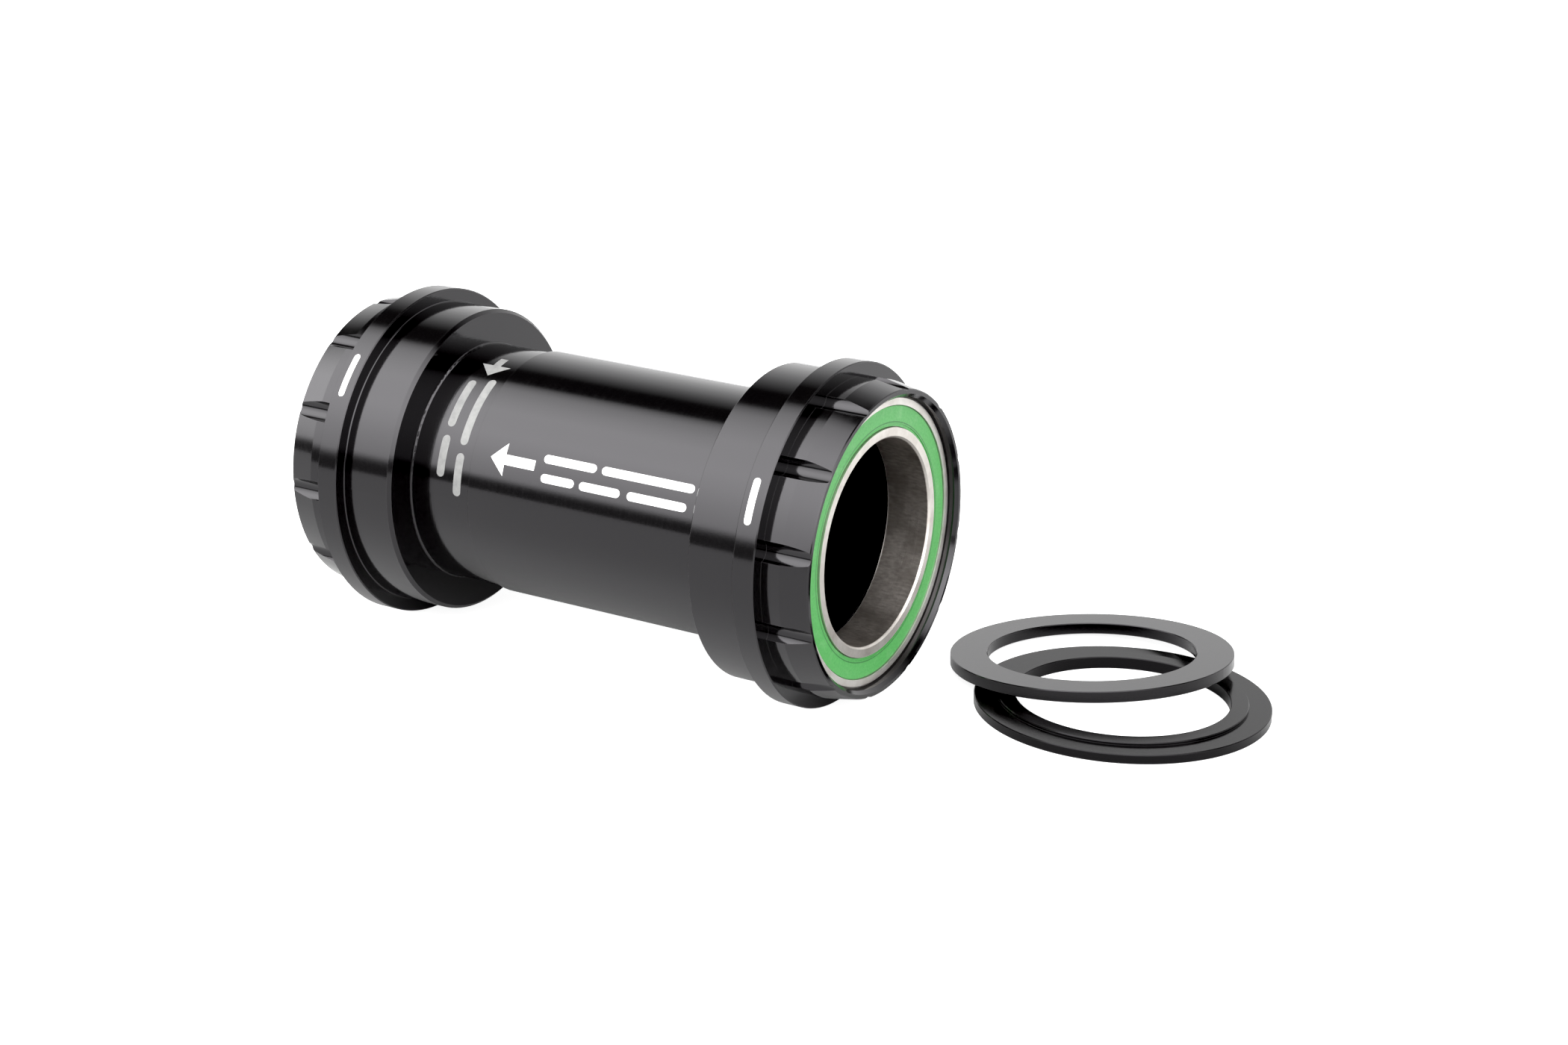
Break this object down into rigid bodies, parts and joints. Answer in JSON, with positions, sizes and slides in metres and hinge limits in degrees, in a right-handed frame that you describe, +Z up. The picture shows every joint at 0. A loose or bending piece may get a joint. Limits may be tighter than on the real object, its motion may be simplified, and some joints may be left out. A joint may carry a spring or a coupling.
{
  "type": "bottom bracket",
  "caption": "Two flanged press-in cups that screw together across a bicycle frame shell, each with a sealed spindle bearing, plus two loose spindle spacers.",
  "frame": {"origin": "on the spindle axis, midway between the inboard faces of the two flanges", "axes": "+X along the spindle axis towards the drive side, +Z up, +Y towards the side where the loose spacers lie"},
  "size_m": [0.1381, 0.076, 0.05],
  "materials": {
    "anodised_cup": "gloss black anodised",
    "anodised_spacer": "gloss black anodised",
    "race_steel": "ground",
    "ball_steel": "polished",
    "seal_rubber": "satin green",
    "stiffener_steel": "plain",
    "cage_plastic": "moulded",
    "o_ring_rubber": "satin"
  },
  "bodies": {
    "drive_side_cup": {"drive_side_cup": "anodised_cup", "drive_side_outer_race": "race_steel", "drive_side_outer_seal": "seal_rubber", "drive_side_outer_seal_stiffener": "stiffener_steel", "drive_side_inner_seal": "seal_rubber", "drive_side_inner_seal_stiffener": "stiffener_steel"},
    "drive_side_inner_race": {"drive_side_inner_race": "race_steel"},
    "drive_side_cage": {"drive_side_cage": "cage_plastic", "drive_side_balls": "ball_steel"},
    "non_drive_side_cup": {"non_drive_side_cup": "anodised_cup", "non_drive_side_outer_race": "race_steel", "non_drive_side_outer_seal": "seal_rubber", "non_drive_side_outer_seal_stiffener": "stiffener_steel", "non_drive_side_inner_seal": "seal_rubber", "non_drive_side_inner_seal_stiffener": "stiffener_steel"},
    "non_drive_side_inner_race": {"non_drive_side_inner_race": "race_steel"},
    "non_drive_side_cage": {"non_drive_side_cage": "cage_plastic", "non_drive_side_balls": "ball_steel"},
    "joint_o_ring": {"joint_o_ring": "o_ring_rubber"},
    "stepped_spacer": {"stepped_spacer": "anodised_spacer"},
    "flat_spacer": {"flat_spacer": "anodised_spacer"}
  },
  "joints": [
    {"name": "drive_side_bearing_spin", "type": "hinge", "parent": "drive_side_cup", "child": "drive_side_inner_race", "pos_m": [0.0394, 0, 0], "axis": [1, 0, 0], "continuous": true},
    {"name": "drive_side_cage_spin", "type": "hinge", "parent": "drive_side_cup", "child": "drive_side_cage", "pos_m": [0.0394, 0, 0], "axis": [1, 0, 0], "continuous": true},
    {"name": "o_ring_travel", "type": "slide", "parent": "drive_side_cup", "child": "joint_o_ring", "axis": [-1, 0, 0], "range_m": [0, 0.01201]},
    {"name": "non_drive_cup_screw", "type": "hinge", "parent": "joint_o_ring", "child": "non_drive_side_cup", "pos_m": [-0.015, 0, 0], "axis": [-1, 0, 0], "range_deg": [0, 4320]},
    {"name": "non_drive_side_bearing_spin", "type": "hinge", "parent": "non_drive_side_cup", "child": "non_drive_side_inner_race", "pos_m": [-0.0394, 0, 0], "axis": [1, 0, 0], "continuous": true},
    {"name": "non_drive_side_cage_spin", "type": "hinge", "parent": "non_drive_side_cup", "child": "non_drive_side_cage", "pos_m": [-0.0394, 0, 0], "axis": [1, 0, 0], "continuous": true},
    {"name": "stepped_spacer_slide", "type": "slide", "parent": "drive_side_cup", "child": "stepped_spacer", "axis": [1, 0, 0], "range_m": [0, 0.03]},
    {"name": "flat_spacer_lift", "type": "slide", "parent": "stepped_spacer", "child": "flat_spacer", "axis": [0, 0, 1], "range_m": [0, 0.01]}
  ],
  "couplings": [
    {"joint": "drive_side_cage_spin", "follows": "drive_side_bearing_spin", "ratio": 0.45139},
    {"joint": "non_drive_side_cage_spin", "follows": "non_drive_side_bearing_spin", "ratio": 0.45139},
    {"joint": "o_ring_travel", "follows": "non_drive_cup_screw", "m_per_rad": 0.00015915}
  ]
}
